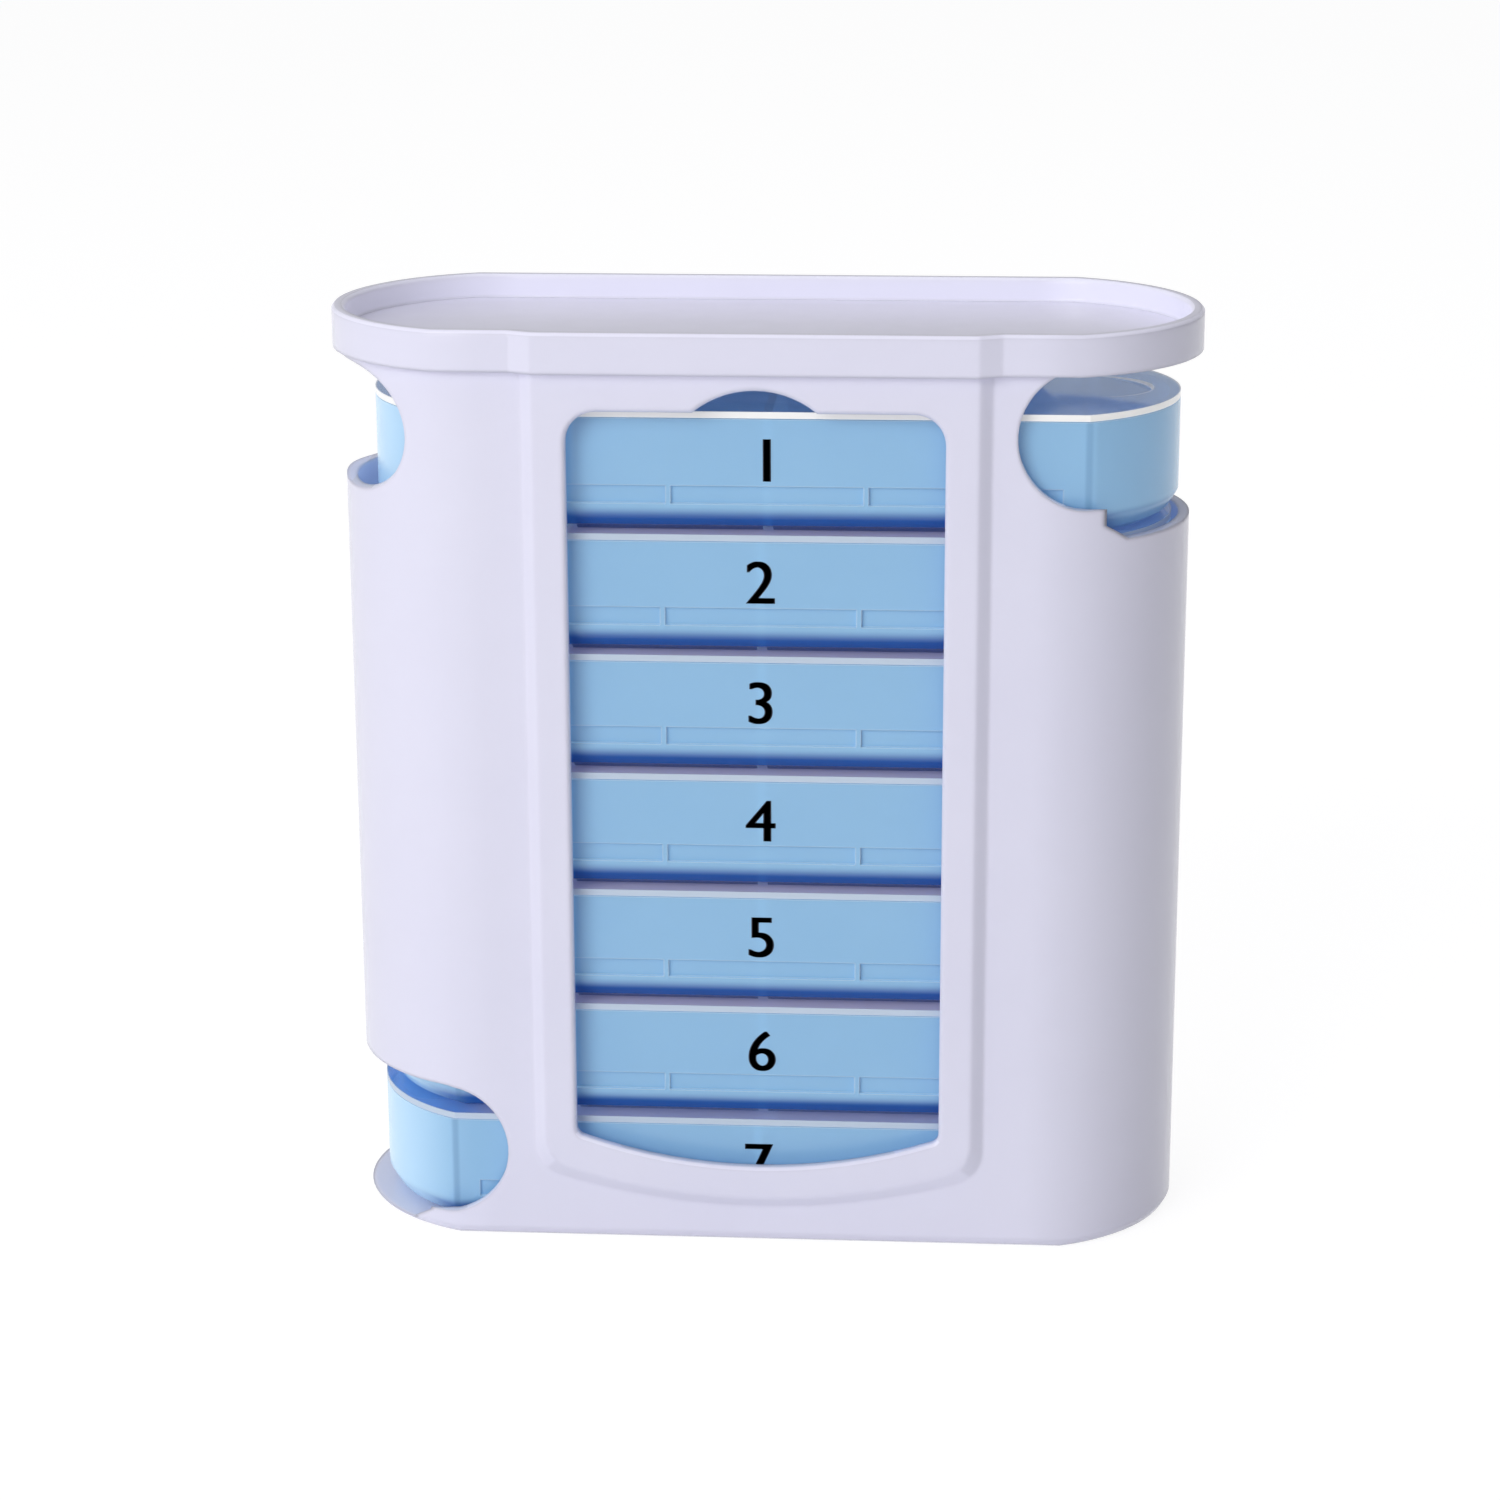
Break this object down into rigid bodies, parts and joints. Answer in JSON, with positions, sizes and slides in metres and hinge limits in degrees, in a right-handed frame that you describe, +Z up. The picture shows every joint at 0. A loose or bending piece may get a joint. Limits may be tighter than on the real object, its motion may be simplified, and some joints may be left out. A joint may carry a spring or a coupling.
{
  "type": "pill drawer case",
  "caption": "Upright plastic case with a window and open corners, holding a stack of compartment trays with sliding lids that leave it sideways",
  "frame": {"origin": "middle of the case's flat underside, which stands on Z = 0", "axes": "+X along the case towards the end where the top tray leaves, +Z up, and the window faces -Y"},
  "size_m": [0.1212, 0.0497, 0.1314],
  "materials": {
    "white_plastic": "glossy moulded white with a faint lilac tint",
    "blue_tray": "glossy translucent light blue",
    "clear_lid": "clear, glossy"
  },
  "bodies": {
    "case": {"case_shell": "white_plastic", "top_cover": "white_plastic"},
    "middle_stack": {"tray_day_2": "blue_tray", "tray_day_3": "blue_tray", "tray_day_4": "blue_tray", "tray_day_5": "blue_tray", "tray_day_6": "blue_tray", "lid_day_2": "clear_lid", "lid_day_3": "clear_lid", "lid_day_4": "clear_lid", "lid_day_5": "clear_lid", "lid_day_6": "clear_lid"},
    "top_tray": {"tray_day_1": "blue_tray"},
    "top_lid": {"lid_day_1": "clear_lid"},
    "bottom_tray": {"tray_day_7": "blue_tray"},
    "bottom_lid": {"lid_day_7": "clear_lid"}
  },
  "joints": [
    {"name": "stack_lift", "type": "slide", "parent": "case", "child": "middle_stack", "axis": [0, 0, 1], "range_m": [0, 0.0048]},
    {"name": "top_tray_slide", "type": "slide", "parent": "middle_stack", "child": "top_tray", "axis": [1, 0, 0], "range_m": [0, 0.118]},
    {"name": "top_lid_slide", "type": "slide", "parent": "top_tray", "child": "top_lid", "axis": [1, 0, 0], "range_m": [0, 0.112]},
    {"name": "bottom_tray_slide", "type": "slide", "parent": "case", "child": "bottom_tray", "axis": [-1, 0, 0], "range_m": [0, 0.118]},
    {"name": "bottom_lid_slide", "type": "slide", "parent": "bottom_tray", "child": "bottom_lid", "axis": [-1, 0, 0], "range_m": [0, 0.112]}
  ]
}
